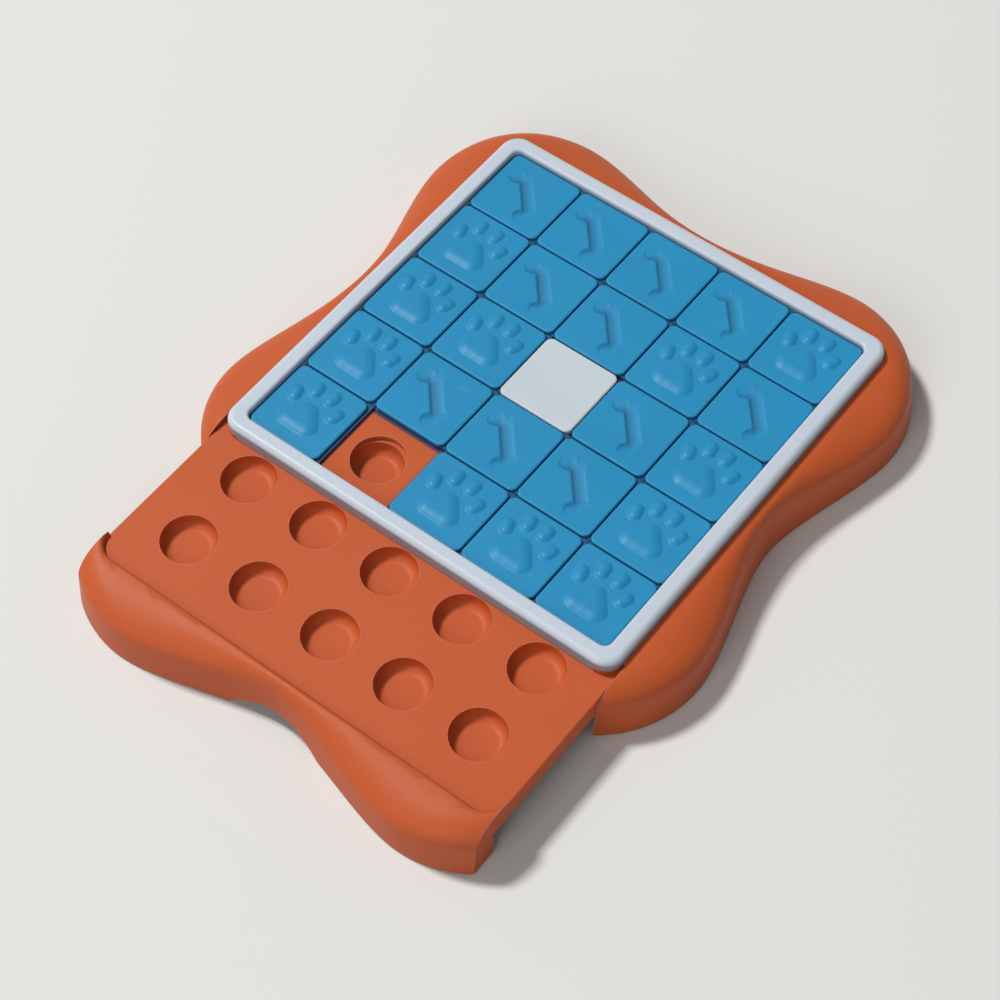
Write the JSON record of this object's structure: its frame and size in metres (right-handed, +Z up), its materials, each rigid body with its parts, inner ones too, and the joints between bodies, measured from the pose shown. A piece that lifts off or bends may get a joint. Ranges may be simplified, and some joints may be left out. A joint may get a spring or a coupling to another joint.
{
  "type": "sliding-tile dog treat puzzle",
  "caption": "Lobed puzzle board for a dog: tiles slide over food holes inside a rounded frame, and a drawer of treat cups pulls out at the front.",
  "frame": {"origin": "under the middle of the part as it stands with its drawer pulled out, on the surface it stands on", "axes": "+Z up, -Y the way the drawer pulls out, +X to the right of someone facing the drawer"},
  "size_m": [0.2986, 0.3906, 0.039],
  "materials": {
    "shell_plastic": "moulded, fine satin",
    "drawer_plastic": "moulded, fine satin",
    "frame_plastic": "moulded, soft gloss",
    "fixed_tile_plastic": "moulded, soft gloss",
    "tile_plastic": "moulded, satin",
    "board_plastic": "moulded, satin",
    "runner_plastic": "moulded, satin",
    "screw_steel": "zinc plated",
    "foot_rubber": "matt"
  },
  "bodies": {
    "board": {"base_shell": "shell_plastic", "bone_tile_r2c3": "tile_plastic", "bone_tile_r2c4": "tile_plastic", "bone_tile_r3c4": "tile_plastic", "bone_tile_r4c3": "tile_plastic", "bone_tile_r4c5": "tile_plastic", "bone_tile_r5c1": "tile_plastic", "bone_tile_r5c3": "tile_plastic", "bone_tile_r5c4": "tile_plastic", "centre_tile": "fixed_tile_plastic", "foot_back_left": "foot_rubber", "foot_back_right": "foot_rubber", "foot_front_left": "foot_rubber", "foot_front_right": "foot_rubber", "game_board": "board_plastic", "paw_tile_r1c1": "tile_plastic", "paw_tile_r1c3": "tile_plastic", "paw_tile_r1c4": "tile_plastic", "paw_tile_r1c5": "tile_plastic", "paw_tile_r2c1": "tile_plastic", "paw_tile_r2c5": "tile_plastic", "paw_tile_r3c1": "tile_plastic", "paw_tile_r3c5": "tile_plastic", "paw_tile_r4c1": "tile_plastic", "paw_tile_r4c4": "tile_plastic", "paw_tile_r5c5": "tile_plastic", "runner_left": "runner_plastic", "runner_right": "runner_plastic", "runner_screws": "screw_steel", "tile_frame": "frame_plastic"},
    "drawer": {"treat_drawer": "drawer_plastic"},
    "tile_r2c2": {"bone_tile_r2c2": "tile_plastic"},
    "tile_r3c2": {"paw_tile_r3c2": "tile_plastic"},
    "tile_r4c2": {"bone_tile_r4c2": "tile_plastic"},
    "tile_r5c2": {"bone_tile_r5c2": "tile_plastic"}
  },
  "joints": [
    {"name": "drawer_slide", "type": "slide", "parent": "board", "child": "drawer", "axis": [0, -1, 0], "range_m": [-0.092, 0.11]},
    {"name": "tile_r2c2_slide", "type": "slide", "parent": "board", "child": "tile_r2c2", "axis": [0, -1, 0], "range_m": [0, 0.045]},
    {"name": "tile_r3c2_slide", "type": "slide", "parent": "board", "child": "tile_r3c2", "axis": [0, -1, 0], "range_m": [0, 0.045]},
    {"name": "tile_r4c2_slide", "type": "slide", "parent": "board", "child": "tile_r4c2", "axis": [0, -1, 0], "range_m": [0, 0.045]},
    {"name": "tile_r5c2_slide", "type": "slide", "parent": "board", "child": "tile_r5c2", "axis": [0, -1, 0], "range_m": [0, 0.045]}
  ],
  "couplings": [
    {"joint": "tile_r3c2_slide", "follows": "tile_r2c2_slide", "ratio": 1},
    {"joint": "tile_r4c2_slide", "follows": "tile_r2c2_slide", "ratio": 1},
    {"joint": "tile_r5c2_slide", "follows": "tile_r2c2_slide", "ratio": 1}
  ]
}
